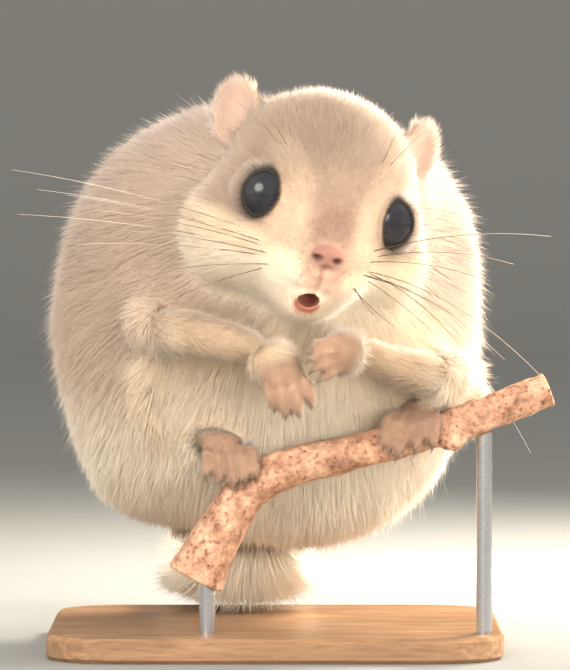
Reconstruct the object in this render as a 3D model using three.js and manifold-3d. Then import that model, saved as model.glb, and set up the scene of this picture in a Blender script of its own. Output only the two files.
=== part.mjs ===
// A Siberian flying squirrel in its winter coat, life size, hunched on a cut length of branch
// with its hands together under the chin. The branch is held by a plain display stand.
// Units are millimetres. +Z is up, the animal faces -Y, and its right side is at -X.
// The origin is the middle of the base's underside. Solids reach out to the tips of the coat.
import * as THREE from 'three';
import { mergeVertices } from 'three/addons/utils/BufferGeometryUtils.js';
import Module from 'manifold-3d';

const wasm = await Module();
wasm.setup();

const DEG = Math.PI / 180;
const GAP = 0.3; // clear space between neighbouring solids
const v3 = (x, y, z) => new THREE.Vector3(x, y, z);

// Driving dimensions
const HEAD = {
  eyeLine: v3(9.3, -30, 91.9), // midway between the eyes, the head's own origin
  pitch: 15 * DEG, // nose down
  roll: 13.4 * DEG, // crown leans to +X
  yaw: 8 * DEG, // face turns to +X
  centre: v3(0, 1, -3), // every ray to the head's surface starts here
  facets: 5,
};
const EYE = { at: v3(13, -7.3, 0.4), radius: 5.6 };
const NOSE = { at: v3(0, -19.3, -6.4), size: v3(3.7, 2.3, 2.5) };
const EAR = { at: v3(18.6, 12.6, 9.6), size: v3(5.3, 2.3, 7.6), lean: 9 * DEG, turn: 30 * DEG };
const MOUTH = { at: v3(-0.6, -15.6, -16.2), size: v3(2.2, 4, 1.8) };
const TRUNK = { centre: v3(-2, 5, 62), facets: 4 };
const HAUNCH = { facets: 3 };
const ARM = { atElbow: 6.2, atWrist: 3.7 };
const FINGER = { radius: 1.45, tip: 0.95, sides: 5 };
const TOE = { radius: 1.5, tip: 1.0, sides: 5 };
const TAIL = { halfWidth: 18, halfDepth: 5.8, sides: 12, rings: 11 };
const PERCH = { sides: 9, bump: 0.14 };
const STAND = { width: 92, depth: 84, thick: 5, corner: 14, bevel: 0.8, rod: 1.6 };

// Solids from three.js geometry
function solid(geometry) {
  const g = geometry.index ? geometry.toNonIndexed() : geometry.clone();
  for (const name of Object.keys(g.attributes)) if (name !== 'position') g.deleteAttribute(name);
  const merged = mergeVertices(g, 1e-4);
  const triVerts = new Uint32Array(merged.index.array);
  return new wasm.Manifold(
    new wasm.Mesh({ numProp: 3, vertProperties: merged.attributes.position.array, triVerts }),
  );
}

function geometryOf(manifold) {
  const { numProp, numVert, vertProperties, triVerts } = manifold.getMesh();
  const position = new Float32Array(numVert * 3);
  for (let i = 0; i < numVert; i++)
    position.set(vertProperties.subarray(i * numProp, i * numProp + 3), i * 3);
  const g = new THREE.BufferGeometry();
  g.setAttribute('position', new THREE.BufferAttribute(position, 3));
  g.setIndex(new THREE.BufferAttribute(new Uint32Array(triVerts), 1));
  g.computeVertexNormals();
  return g;
}

const largest = (s) => s.decompose().sort((a, b) => b.volume() - a.volume())[0];
const carve = (body, ...cutters) => largest(cutters.reduce((left, c) => left.subtract(c), body));
const join = (...bodies) => bodies.reduce((all, b) => all.add(b));

// How far a point lies outside an ellipsoid, near enough to blend by
function lump(centre, radii) {
  const c = v3(...centre);
  const r = v3(...radii);
  return (p) => {
    const q = p.clone().sub(c).divide(r);
    const k0 = q.length();
    const k1 = q.divide(r).length();
    return k1 > 0 ? (k0 * (k0 - 1)) / k1 : -Math.min(r.x, r.y, r.z);
  };
}

// The smooth union of several lumps: width is how far each fillet reaches
function blend(lumps, width) {
  return (p) =>
    lumps.map((f) => f(p)).reduce((a, b) => {
      const h = Math.max(width - Math.abs(a - b), 0) / width;
      return Math.min(a, b) - (h * h * width) / 4;
    });
}

// A closed skin round a field, one ray for each corner of a geodesic ball
function wrapped(field, centre, facets, grow = 0) {
  const ball = new THREE.IcosahedronGeometry(1, facets);
  ball.deleteAttribute('normal');
  ball.deleteAttribute('uv');
  const g = mergeVertices(ball, 1e-4);
  const place = g.attributes.position;
  const ray = v3();
  for (let i = 0; i < place.count; i++) {
    ray.fromBufferAttribute(place, i).normalize();
    let near = 0;
    let far = 75;
    for (let step = 0; step < 26; step++) {
      const middle = (near + far) / 2;
      if (field(ray.clone().multiplyScalar(middle).add(centre)) < grow) near = middle;
      else far = middle;
    }
    ray.multiplyScalar(near).add(centre);
    place.setXYZ(i, ray.x, ray.y, ray.z);
  }
  return solid(g);
}

// A limb: a ball's rings carried along a curve. girth(t) is [half width, half height] at t, and
// across points along the width. Cut ends are flat, the others round.
function limb(points, girth, { sides = 12, rings = 12, across = v3(1, 0, 0), cut = false, grow = 0 } = {}) {
  const curve = new THREE.CatmullRomCurve3(points.map((p) => v3(...p)), false, 'centripetal');
  const g = new THREE.SphereGeometry(1, sides, rings);
  const place = g.attributes.position;
  const length = curve.getLength();
  for (let ring = 0; ring <= rings; ring++) {
    const s = ring / rings;
    const t = cut ? Math.min(Math.max((ring - 1) / (rings - 2), 0), 1) : (1 - Math.cos(Math.PI * s)) / 2;
    const along = curve.getTangentAt(t);
    const side = across.clone().addScaledVector(along, -across.dot(along)).normalize();
    const up = v3().crossVectors(side, along);
    const [w, h] = girth(t);
    const reach = Math.max(w, h) / length; // share of the length that a round end takes
    const end = cut ? 1 : Math.min(t, 1 - t) / reach;
    const full = end >= 1 ? 1 : Math.sqrt(Math.max(1 - (1 - end) ** 2, 0));
    const closed = ring === 0 || ring === rings ? 0 : full;
    const ends = grow * (2 * t - 1);
    for (let i = 0; i <= sides; i++) {
      const turn = (2 * Math.PI * (i % sides)) / sides;
      const p = curve.getPointAt(t).addScaledVector(along, ends);
      p.addScaledVector(side, Math.cos(turn) * (w + grow) * closed);
      p.addScaledVector(up, Math.sin(turn) * (h + grow) * closed);
      place.setXYZ(ring * (sides + 1) + i, p.x, p.y, p.z);
    }
  }
  const made = solid(g);
  return made.volume() < 0 ? solid(flipped(g)) : made;
}

function flipped(g) {
  const index = g.index.array;
  for (let i = 0; i < index.length; i += 3) [index[i], index[i + 1]] = [index[i + 1], index[i]];
  return g;
}

function ellipsoid(centre, size, { columns = 16, rows = 12, grow = 0, turned = new THREE.Matrix4() } = {}) {
  const g = new THREE.SphereGeometry(1, columns, rows);
  g.scale(size.x + grow, size.y + grow, size.z + grow);
  g.applyMatrix4(turned);
  g.translate(centre.x, centre.y, centre.z);
  return solid(g);
}

const mirrorX = (p, side) => v3(p.x * side, p.y, p.z);
const taper = (a, b) => (t) => [a + (b - a) * t, a + (b - a) * t];

// Head, in its own frame: x to the animal's left, -y out of the face, z to the crown
const headField = blend(
  [
    lump([0, 8, 2.6], [20, 21, 18.6]), // crown and nape
    lump([0, -3, -2], [15, 13, 13.4]), // brow and face
    lump([-11.6, 3, -10.5], [14.6, 14.6, 12.4]), // right cheek
    lump([11.6, 3, -10.5], [13.6, 14.2, 12.4]), // left cheek
    lump([0, -11, -7.6], [8, 8.8, 6.6]), // bridge and muzzle
    lump([-3.4, -14, -10.6], [4.6, 5.2, 4.4]), // right whisker pad
    lump([3.4, -14, -10.6], [4.6, 5.2, 4.4]), // left whisker pad
    lump([0, -7.6, -18.2], [7, 7.2, 6]), // lower jaw and chin
  ],
  7,
);

const headShape = (grow) => wrapped(headField, HEAD.centre, HEAD.facets, grow);
const eyeShape = (side, grow) =>
  ellipsoid(mirrorX(EYE.at, side), v3(EYE.radius, EYE.radius, EYE.radius), { columns: 12, rows: 8, grow });
const noseShape = (grow) => ellipsoid(NOSE.at, NOSE.size, { columns: 10, rows: 7, grow });

function earShape(side, grow) {
  const turned = new THREE.Matrix4().makeRotationFromEuler(
    new THREE.Euler(-10 * DEG, side * EAR.lean, side * EAR.turn, 'ZXY'),
  );
  const at = mirrorX(EAR.at, side);
  const leaf = ellipsoid(at, EAR.size, { columns: 10, rows: 8, turned, grow });
  if (grow) return leaf;
  const hollow = EAR.size.clone().multiply(v3(0.74, 0.8, 0.8));
  const opening = at.clone().add(v3(0, -EAR.size.y * 0.72, 0.3).applyMatrix4(turned));
  return leaf.subtract(ellipsoid(opening, hollow, { columns: 10, rows: 6, turned }));
}

function mouthShape() {
  return ellipsoid(MOUTH.at, MOUTH.size, { columns: 10, rows: 6 });
}

// Trunk, in the part's frame: a hunched ball, turned so that the rump is behind and to the right
const trunkField = blend(
  [
    lump([-2, 7, 66.5], [45.5, 32, 46.5]), // flanks and arched back
    lump([11, 3, 80], [30.5, 24, 31]), // left shoulder
    lump([-12, 6, 81], [29, 24, 29]), // right shoulder
    lump([-9, 23, 57], [35, 32, 37]), // rump
    lump([8, -5, 52], [30.5, 21, 32]), // belly
    lump([6, -12, 66], [28, 22.5, 20]), // chest
    lump([2.5, -13, 84], [30, 15, 21]), // ruff round the head
  ],
  7,
);
const trunkShape = (grow) => wrapped(trunkField, TRUNK.centre, TRUNK.facets, grow);

// Hind legs: a round haunch that lies in the flank, and a shank that comes forward to the perch
const haunches = {
  right: {
    field: blend([lump([-24, 14, 47.5], [19, 25, 24]), lump([-17, -8, 41], [9, 12, 8])], 6),
    centre: v3(-24, 4, 44),
  },
  left: {
    field: blend([lump([21.5, 8, 49], [16.5, 23, 21]), lump([29, -12, 48.5], [7.5, 10, 6.5])], 6),
    centre: v3(25, 0, 48),
  },
};
const haunchShape = (side, grow) =>
  wrapped(haunches[side].field, haunches[side].centre, HAUNCH.facets, grow);

// Gliding membranes: the loose fold of skin between elbow and knee on each flank
const membranes = {
  right: [[-22, -19, 65], [-25, -15, 57], [-24.5, -12.5, 49], [-19, -12, 41]],
  left: [[35, -17, 57], [39, -10, 53], [38, -6, 48], [35, -6, 43]],
};
const membraneShape = (side, grow) =>
  limb(membranes[side], (t) => [6.4 - 1.6 * t, 9.5 - 3 * t], { sides: 8, rings: 6, grow });

// Forelegs: elbow at the flank, forearm across the chest to the wrist
const forelegs = {
  right: [[-19, -16, 70], [-24.5, -26, 67], [-15, -37, 65.4], [-2.6, -45.2, 62.8]],
  left: [[31, -17, 58], [34, -26.5, 56.6], [26, -36, 58.4], [16.2, -43.4, 62.4]],
};
const forelegShape = (side, grow) =>
  limb(forelegs[side], taper(ARM.atElbow, ARM.atWrist), { sides: 10, rings: 9, grow });

// Hands: the right one hangs from its wrist, and the left one lies across to meet it
const hands = {
  right: {
    palm: [[-3.4, -45.8, 62.8], [0.8, -49.6, 59], [2.9, -51, 54]],
    broad: v3(0.82, 0.35, 0.2),
    girth: [4.6, 3.2],
    fingers: [
      [[-0.9, -50.2, 57.6], [-1.1, -52.2, 54.6], [-0.2, -51.4, 51.1]],
      [[1.1, -51.2, 56.8], [1.5, -53.4, 53], [2.1, -52.2, 49.8]],
      [[3.4, -51.4, 56.8], [4.2, -53.2, 53.4], [4.6, -51.8, 50.2]],
      [[5.4, -50.6, 57.6], [6.7, -51.8, 54.6], [7.1, -50.4, 51.8]],
    ],
  },
  left: {
    palm: [[16.2, -45.6, 62.8], [13.4, -49.6, 62.2], [10.2, -52.8, 61.6]],
    broad: v3(0.1, 0.15, 1),
    girth: [4.3, 3.2],
    fingers: [
      [[12.8, -50.6, 64.2], [9.2, -54.2, 64.6], [6.9, -54.2, 62.8]],
      [[12.6, -51, 62.6], [8.6, -55.6, 62.2], [6.4, -55.4, 60.8]],
      [[12.6, -51, 61], [8.9, -55.2, 59.8], [7, -55, 58.6]],
      [[13, -50.4, 59.6], [10, -53.6, 57.6], [8.4, -53.4, 56.8]],
    ],
  },
};

function handShape(side, grow) {
  const { palm, broad, girth, fingers } = hands[side];
  const digits = fingers.map((f) =>
    limb(f, taper(FINGER.radius, FINGER.tip), { sides: FINGER.sides, rings: 5, grow }),
  );
  return join(limb(palm, () => girth, { sides: 10, rings: 6, across: broad, grow }), ...digits);
}

// Feet: the instep lies over the perch and five toes curl down in front of it
const feet = {
  right: { heel: [-14, -18.5, 43], instep: [-9.5, -30, 42.6], lean: 0.12, drop: 34.4 },
  left: { heel: [31.5, -15, 48.6], instep: [28.6, -29.6, 49.6], lean: -0.34, drop: 40.4 },
};
const TOE_SPREAD = [-4.9, -2.5, 0, 2.5, 4.9];

function footShape(side, grow) {
  const { heel, instep, lean, drop } = feet[side];
  const middle = heel.map((h, k) => (h + instep[k]) / 2 + (k === 2 ? 0.9 : 0));
  const sole = limb([heel, middle, instep], (t) => [3.6 + 2 * t, 2.7 - 0.3 * t], { sides: 10, rings: 6, grow });
  const toes = TOE_SPREAD.map((offset) => {
    const x = instep[0] + offset;
    const out = 1 - (Math.abs(offset) / 5) * 0.55; // the middle toes are the longest
    const root = [x - offset * 0.2, instep[1] + 2.2, instep[2] + 0.1];
    const knuckle = [x + lean * 4, instep[1] - 3.1, instep[2] - 2.2];
    const tip = [x + lean * 13 * out, instep[1] - 2.9, drop + (1 - out) * 4];
    return limb([root, knuckle, tip], taper(TOE.radius, TOE.tip), { sides: TOE.sides, rings: 4, grow });
  });
  return join(sole, ...toes);
}

// Tail: flat and broad, back from the rump and down to just above the base
const tailPath = [
  [-5, 8, 30], [-6.5, 15, 16.4], [-8, 34, 11.6], [-9, 58, 12], [-9, 80, 14.4], [-8, 98, 19],
];
const tailGirth = (t) => {
  const swell = Math.sin(Math.PI * Math.min(0.24 + t * 0.56, 0.8)) ** 0.6;
  return [TAIL.halfWidth * swell, TAIL.halfDepth * (1 - 0.25 * t)];
};
const tailShape = (grow) => limb(tailPath, tailGirth, { sides: TAIL.sides, rings: TAIL.rings, grow });

// Perch: a branch that bends up from the lower right to the left, both ends cut flat
const perchPath = [
  [-16, -28.6, 16], [-12, -28.7, 24], [-7.6, -28.8, 31.2], [-2.5, -28.7, 36], [4.5, -28.4, 38.8],
  [14, -28.2, 41], [26, -28, 43.9], [40, -27.6, 48.2], [55, -27, 54],
];
const barkGirth = (t) => {
  const knots = PERCH.bump * (Math.sin(1 + t * 41) + Math.sin(2 + t * 67));
  const r = 5.9 - 2.1 * Math.min(t / 0.5, 1) ** 0.8 + knots;
  return [r, r];
};

function perchShape(grow) {
  const branch = limb(perchPath, barkGirth, {
    sides: PERCH.sides, rings: 15, cut: true, across: v3(0, 1, 0), grow,
  });
  const bud = ellipsoid(v3(35.4, -30, 43.6), v3(3, 2.6, 2.1), { columns: 8, rows: 6, grow });
  const knot = ellipsoid(v3(46.5, -29.6, 51.9), v3(3, 2.4, 2.3), { columns: 8, rows: 6, grow });
  return join(branch, bud, knot);
}

// Stand: a flat base with two rods that hold the perch
function baseShape() {
  const { width, depth, thick, corner, bevel } = STAND;
  const [w, d] = [width / 2 - bevel, depth / 2 - bevel];
  const r = corner - bevel;
  const outline = new THREE.Shape();
  outline.moveTo(-w + r, -d);
  outline.absarc(w - r, -d + r, r, -Math.PI / 2, 0);
  outline.absarc(w - r, d - r, r, 0, Math.PI / 2);
  outline.absarc(-w + r, d - r, r, Math.PI / 2, Math.PI);
  outline.absarc(-w + r, -d + r, r, Math.PI, 1.5 * Math.PI);
  const plate = new THREE.ExtrudeGeometry(outline, {
    depth: thick - 2 * bevel, bevelThickness: bevel, bevelSize: bevel, bevelSegments: 1, curveSegments: 5,
  });
  return solid(plate.translate(0, 0, bevel));
}

const rods = { right: [-13.6, -28.6, 22], left: [42, -27.5, 49] };
const rodShape = (side) => {
  const [x, y, top] = rods[side];
  const rod = new THREE.CylinderGeometry(STAND.rod, STAND.rod, top - STAND.thick, 16);
  return solid(rod.rotateX(Math.PI / 2).translate(x, y, (top + STAND.thick) / 2));
};

// Materials
const finish = (color, roughness = 0.9, metalness = 0) =>
  new THREE.MeshStandardMaterial({ color, roughness, metalness });
const coat = finish('#cdb9a4');
const paleCoat = finish('#ead9c4');
const bareSkin = finish('#c4907f', 0.6);
const eyeGloss = finish('#0d0d12', 0.05);
const pawSkin = finish('#bd917b', 0.8);
const barkBrown = finish('#a06a55', 0.95);
const baseWood = finish('#8a6a4c', 0.5);
const steel = finish('#b9bbbe', 0.3, 1);

// Assembly
const squirrel = new THREE.Group();
const headGroup = new THREE.Group();
headGroup.position.copy(HEAD.eyeLine);
headGroup.rotation.set(HEAD.pitch, HEAD.roll, HEAD.yaw, 'ZXY');
squirrel.add(headGroup);
headGroup.updateMatrixWorld(true);

const piece = (group, name, body, material) => {
  const mesh = new THREE.Mesh(geometryOf(body), material);
  mesh.name = name;
  group.add(mesh);
};
const inPart = (body) => body.transform(headGroup.matrixWorld.elements);
const sides = [['right', -1], ['left', 1]];

piece(headGroup, 'head', carve(
  headShape(0),
  ...sides.flatMap(([, s]) => [eyeShape(s, GAP), earShape(s, GAP)]),
  noseShape(GAP),
  mouthShape(),
), coat);
piece(headGroup, 'nose', noseShape(0), bareSkin);
for (const [side, s] of sides) {
  piece(headGroup, `eye_${side}`, eyeShape(s, 0), eyeGloss);
  piece(headGroup, `ear_${side}`, earShape(s, 0), coat);
}

const headRoom = [inPart(headShape(GAP)), ...sides.map(([, s]) => inPart(earShape(s, GAP)))];
const perchRoom = perchShape(GAP);
for (const [side] of sides) {
  const hand = carve(handShape(side, 0), ...headRoom);
  const other = side === 'left' ? [handShape('right', GAP)] : [];
  piece(squirrel, `hand_${side}`, carve(hand, ...other), pawSkin);
  piece(squirrel, `foreleg_${side}`, carve(
    forelegShape(side, 0), handShape(side, GAP), footShape(side, GAP), ...headRoom,
  ), coat);
  piece(squirrel, `foot_${side}`, carve(footShape(side, 0), perchRoom), pawSkin);
  piece(squirrel, `hindleg_${side}`, carve(
    haunchShape(side, 0), footShape(side, GAP), perchRoom, forelegShape(side, GAP),
  ), coat);
  piece(squirrel, `membrane_${side}`, carve(
    membraneShape(side, 0), forelegShape(side, GAP), haunchShape(side, GAP), perchRoom, ...headRoom,
  ), paleCoat);
}
piece(squirrel, 'tail', carve(
  tailShape(0), haunchShape('right', GAP), haunchShape('left', GAP),
), coat);
piece(squirrel, 'trunk', carve(
  trunkShape(0), ...headRoom, tailShape(GAP), perchRoom,
  ...sides.flatMap(([side]) =>
    [forelegShape, handShape, haunchShape, footShape, membraneShape].map((f) => f(side, GAP))),
), coat);
piece(squirrel, 'perch', perchShape(0), barkBrown);

piece(squirrel, 'stand_base', baseShape(), baseWood);
for (const [side] of sides)
  piece(squirrel, `stand_rod_${side}`, carve(rodShape(side), perchRoom), steel);

export default squirrel;
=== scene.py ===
import math
import time

import bmesh
import bpy
import numpy as np
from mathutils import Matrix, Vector
from mathutils.bvhtree import BVHTree
from mathutils.kdtree import KDTree


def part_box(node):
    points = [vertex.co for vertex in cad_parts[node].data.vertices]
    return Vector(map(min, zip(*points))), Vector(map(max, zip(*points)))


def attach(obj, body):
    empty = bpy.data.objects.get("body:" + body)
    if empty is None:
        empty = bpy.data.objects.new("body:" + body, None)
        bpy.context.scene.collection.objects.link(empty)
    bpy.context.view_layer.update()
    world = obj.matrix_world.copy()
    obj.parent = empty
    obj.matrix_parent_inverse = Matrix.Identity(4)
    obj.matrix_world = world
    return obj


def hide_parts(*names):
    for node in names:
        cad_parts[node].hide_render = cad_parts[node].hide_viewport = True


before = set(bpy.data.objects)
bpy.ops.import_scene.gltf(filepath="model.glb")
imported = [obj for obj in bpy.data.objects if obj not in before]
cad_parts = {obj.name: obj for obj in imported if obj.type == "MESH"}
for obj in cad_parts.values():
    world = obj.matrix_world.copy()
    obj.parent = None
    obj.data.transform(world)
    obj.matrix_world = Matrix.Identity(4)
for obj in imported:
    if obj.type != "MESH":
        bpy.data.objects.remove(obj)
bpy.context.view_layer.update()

# Flying squirrel on its perch. Metres, +Z up, the animal faces -Y and its right side is at -X.
mm = 0.001
startTime = time.time()
scene = bpy.context.scene


def report(words):
    print(f"[{time.time() - startTime:6.1f} s] {words}")


# Small helpers for arrays, meshes and noise

def unit(v):
    return v / np.maximum(np.linalg.norm(v, axis=-1, keepdims=True), 1e-12)


def smooth(low, high, x):
    t = np.clip((x - low) / (high - low), 0, 1)
    return t * t * (3 - 2 * t)


def linear(r, g, b):  # from the colour seen on a screen, 0 to 255
    c = np.array([r, g, b]) / 255
    return np.where(c <= 0.04045, c / 12.92, ((c + 0.055) / 1.055) ** 2.4)


def softNoise(points, size, seed):
    q = points / size + seed * 3.17
    cell = np.floor(q).astype(np.int64)
    part = q - cell
    part = part * part * (3 - 2 * part)
    total = np.zeros(len(points))
    for dx in (0, 1):
        for dy in (0, 1):
            for dz in (0, 1):
                h = (cell[:, 0] + dx) * 73856093 ^ (cell[:, 1] + dy) * 19349663
                h = h ^ (cell[:, 2] + dz) * 83492791 ^ seed * 7919
                h = ((h ^ (h >> 13)) * 1274126177) & 0xFFFFFFFF
                h = (h ^ (h >> 15)) & 0xFFFF
                wx = part[:, 0] if dx else 1 - part[:, 0]
                wy = part[:, 1] if dy else 1 - part[:, 1]
                wz = part[:, 2] if dz else 1 - part[:, 2]
                total += h / 65535 * wx * wy * wz
    return total * 2 - 1


def meshObject(name, verts, faces):
    mesh = bpy.data.meshes.new(name)
    mesh.from_pydata([tuple(v) for v in verts], [], [tuple(f) for f in faces])
    mesh.validate()
    return linked(name, mesh)


def linked(name, data):
    obj = bpy.data.objects.new(name, data)
    scene.collection.objects.link(obj)
    return obj


def shadeSmooth(mesh):
    mesh.polygons.foreach_set("use_smooth", np.ones(len(mesh.polygons), dtype=bool))


def vertexArray(mesh, what="co"):
    out = np.empty(len(mesh.vertices) * 3)
    mesh.vertices.foreach_get(what, out)
    return out.reshape(-1, 3)


def setVertices(mesh, points):
    mesh.vertices.foreach_set("co", np.ascontiguousarray(points, dtype=np.float64).ravel())
    mesh.update()


def edgeArray(mesh):
    out = np.empty(len(mesh.edges) * 2, dtype=np.int32)
    mesh.edges.foreach_get("vertices", out)
    return out.reshape(-1, 2)


def relax(values, edges, rounds, strength=0.5, mask=None):
    # each value moves towards the mean of its neighbours
    flat = values.reshape(len(values), -1).copy()
    ends = np.concatenate([edges[:, 0], edges[:, 1]])
    others = np.concatenate([edges[:, 1], edges[:, 0]])
    count = np.maximum(np.bincount(ends, minlength=len(flat)), 1)[:, None]
    move = strength if mask is None else strength * mask[:, None]
    for _ in range(rounds):
        near = flat[others]
        mean = np.stack(
            [np.bincount(ends, near[:, k], len(flat)) for k in range(flat.shape[1])], axis=1
        ) / count
        flat += (mean - flat) * move
    return flat.reshape(values.shape)


def colourLayer(mesh, name, colours):
    layer = mesh.color_attributes.new(name, "FLOAT_COLOR", "POINT")
    rgba = np.ones((len(colours), 4), dtype=np.float32)
    rgba[:, :3] = colours
    layer.data.foreach_set("color", rgba.ravel())


def applyModifiers(obj):
    graph = bpy.context.evaluated_depsgraph_get()
    fresh = bpy.data.meshes.new_from_object(obj.evaluated_get(graph))
    obj.modifiers.clear()
    obj.data = fresh


def remesh(obj, size):
    mod = obj.modifiers.new("remesh", "REMESH")
    mod.mode = "VOXEL"
    mod.voxel_size = size
    mod.use_smooth_shade = True
    applyModifiers(obj)


def dropCrumbs(mesh, least=400):
    bm = bmesh.new()
    bm.from_mesh(mesh)
    left = set(bm.verts)
    crumbs = []
    while left:
        seed = left.pop()
        group, stack = [seed], [seed]
        while stack:
            for e in stack.pop().link_edges:
                for v in e.verts:
                    if v in left:
                        left.discard(v)
                        group.append(v)
                        stack.append(v)
        report(f"shell of {len(group)} vertices")
        if len(group) < least:
            crumbs += group
    bmesh.ops.delete(bm, geom=crumbs, context="VERTS")
    bm.to_mesh(mesh)
    bm.free()
    mesh.update()


# Materials

def nodeMaterial(name):
    mat = bpy.data.materials.new(name)
    mat.use_nodes = True
    tree = mat.node_tree
    return mat, tree, tree.nodes["Principled BSDF"]


def setInputs(node, values):
    for name, value in values.items():
        node.inputs[name].default_value = value


def noiseNode(tree, coords, scale, detail=3.0, roughness=0.5, distortion=0.0):
    node = tree.nodes.new("ShaderNodeTexNoise")
    setInputs(node, {"Scale": scale, "Detail": detail, "Roughness": roughness, "Distortion": distortion})
    tree.links.new(coords, node.inputs["Vector"])
    return node


def rampNode(tree, source, stops):
    node = tree.nodes.new("ShaderNodeValToRGB")
    ramp = node.color_ramp
    while len(ramp.elements) < len(stops):
        ramp.elements.new(0.5)
    for element, (place, colour) in zip(ramp.elements, stops):
        element.position = place
        element.color = (*colour, 1)
    tree.links.new(source, node.inputs["Fac"])
    return node


def speckle(tree, coords, scale, detail, stops, roughness=0.5, distortion=0.0):
    noise = noiseNode(tree, coords, scale, detail, roughness, distortion)
    return noise.outputs["Fac"], rampNode(tree, noise.outputs["Fac"], stops).outputs["Color"]


def mixColour(tree, kind, amount, a, b):
    node = tree.nodes.new("ShaderNodeMix")
    node.data_type = "RGBA"
    node.blend_type = kind
    for socket, value in ((node.inputs[0], amount), (node.inputs[6], a), (node.inputs[7], b)):
        if isinstance(value, bpy.types.NodeSocket):
            tree.links.new(value, socket)
        elif isinstance(value, (int, float)):
            socket.default_value = value
        else:
            socket.default_value = (*value, 1)
    return node.outputs[2]


def bumpNode(tree, shader, height, strength, distance):
    node = tree.nodes.new("ShaderNodeBump")
    setInputs(node, {"Strength": strength, "Distance": distance})
    tree.links.new(height, node.inputs["Height"])
    tree.links.new(node.outputs["Normal"], shader.inputs["Normal"])


def objectCoords(tree):
    return tree.nodes.new("ShaderNodeTexCoord").outputs["Object"]


def speckledMaterial(name, scale, detail, stops, finish):
    mat, tree, shader = nodeMaterial(name)
    _, tint = speckle(tree, objectCoords(tree), scale, detail, stops)
    tree.links.new(tint, shader.inputs["Base Color"])
    setInputs(shader, finish)
    return mat


def tonedMaterial(name, scale, detail, stops, finish):  # the markings seen through a fine speckle
    mat, tree, shader = nodeMaterial(name)
    tone = tree.nodes.new("ShaderNodeVertexColor")
    tone.layer_name = "coatTone"
    coords = objectCoords(tree)
    _, shade = speckle(tree, coords, scale, detail, stops)
    colour = mixColour(tree, "MULTIPLY", 1.0, tone.outputs["Color"], shade)
    tree.links.new(colour, shader.inputs["Base Color"])
    setInputs(shader, finish)
    return mat, tree, shader, coords


# Where the head, limbs and tail are

def centreOf(node):
    low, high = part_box(node)
    return np.array((low + high) / 2)


eyeCentre = {side: centreOf(f"eye_{side}") for side in ("right", "left")}
noseCentre = centreOf("nose")
eyeMiddle = (eyeCentre["left"] + eyeCentre["right"]) / 2
headLeft = unit(eyeCentre["left"] - eyeCentre["right"])
headOptions = {
    "noseDrop": 6.8, "noseReach": 12,  # the nose pad from the eyes, mm, down and forward
    "back": 7.3, "down": 0.4,  # the head's origin from the middle of the eyes, mm
}
noseTilt = math.atan2(headOptions["noseDrop"], headOptions["noseReach"])
toNose = unit(noseCentre - eyeMiddle)
headUpper = np.cross(toNose, headLeft)
headForward = math.cos(noseTilt) * toNose + math.sin(noseTilt) * headUpper
headUp = -math.sin(noseTilt) * toNose + math.cos(noseTilt) * headUpper
headOrigin = eyeMiddle - headOptions["back"] * mm * headForward - headOptions["down"] * mm * headUp


def inHead(points):  # left, forward and up from the head's origin, in millimetres
    rel = (points - headOrigin) / mm
    return rel @ headLeft, rel @ headForward, rel @ headUp


def fromOval(at, points, size):  # 1 on the surface of an oval; at and size are left, up and forward
    left, forward, up = inHead(points)
    parts = [(value - c) / r for value, c, r in zip((left, up, forward), at, size)]
    return np.linalg.norm(np.stack(parts, 1), axis=1)


def fromHead(left, forward, up):
    return headOrigin + mm * (left * headLeft + forward * headForward + up * headUp)


limbLine = {  # from the joint near the body to the tip, mm
    "foreleg_right": [(-21, -20, 69), (-25, -26, 67), (-15, -37, 65.4), (-2.6, -45.2, 62.8)],
    "foreleg_left": [(31, -17, 58), (34, -26.5, 56.6), (26, -36, 58.4), (16.2, -43.4, 62.4)],
    "hand_right": [(-1.8, -47.2, 62.4), (1.2, -50, 58.6), (3.4, -51, 50)],
    "hand_left": [(16.2, -45.6, 62.8), (13.4, -49.6, 62.2), (7, -54, 60.6)],
    "foot_right": [(-14, -18.5, 43), (-9.5, -32, 42.6), (-9, -33.5, 34)],
    "foot_left": [(31.5, -15, 48.6), (28.6, -31, 49.6), (26, -33.5, 40.5)],
    "membrane_right": [(-22, -19, 65), (-25, -15, 57), (-24.5, -12.5, 49), (-19, -12, 41)],
    "membrane_left": [(35, -17, 57), (39, -10, 53), (38, -6, 48), (35, -6, 43)],
    "tail": [(-5, 8, 30), (-6.5, 15, 16.4), (-8, 34, 11.6), (-9, 58, 12), (-9, 80, 14.4), (-8, 98, 19)],
}


def densePath(points, count=60):
    pts = np.array(points) * mm
    t = np.linspace(0, len(pts) - 1, count)
    k = np.minimum(t.astype(int), len(pts) - 2)
    f = (t - k)[:, None]
    p0, p1 = pts[np.maximum(k - 1, 0)], pts[k]
    p2, p3 = pts[k + 1], pts[np.minimum(k + 2, len(pts) - 1)]
    return 0.5 * (
        2 * p1 + (p2 - p0) * f + (2 * p0 - 5 * p1 + 4 * p2 - p3) * f ** 2
        + (3 * p1 - p0 - 3 * p2 + p3) * f ** 3
    )


def nearestOnPath(points, path):
    tangent = unit(np.gradient(path, axis=0))
    best = np.full(len(points), 1e9)
    index = np.zeros(len(points), dtype=int)
    for i, p in enumerate(path):
        d = ((points - p) ** 2).sum(1)
        closer = d < best
        best[closer] = d[closer]
        index[closer] = i
    return path[index], tangent[index], index / (len(path) - 1)


# Skin

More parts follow.
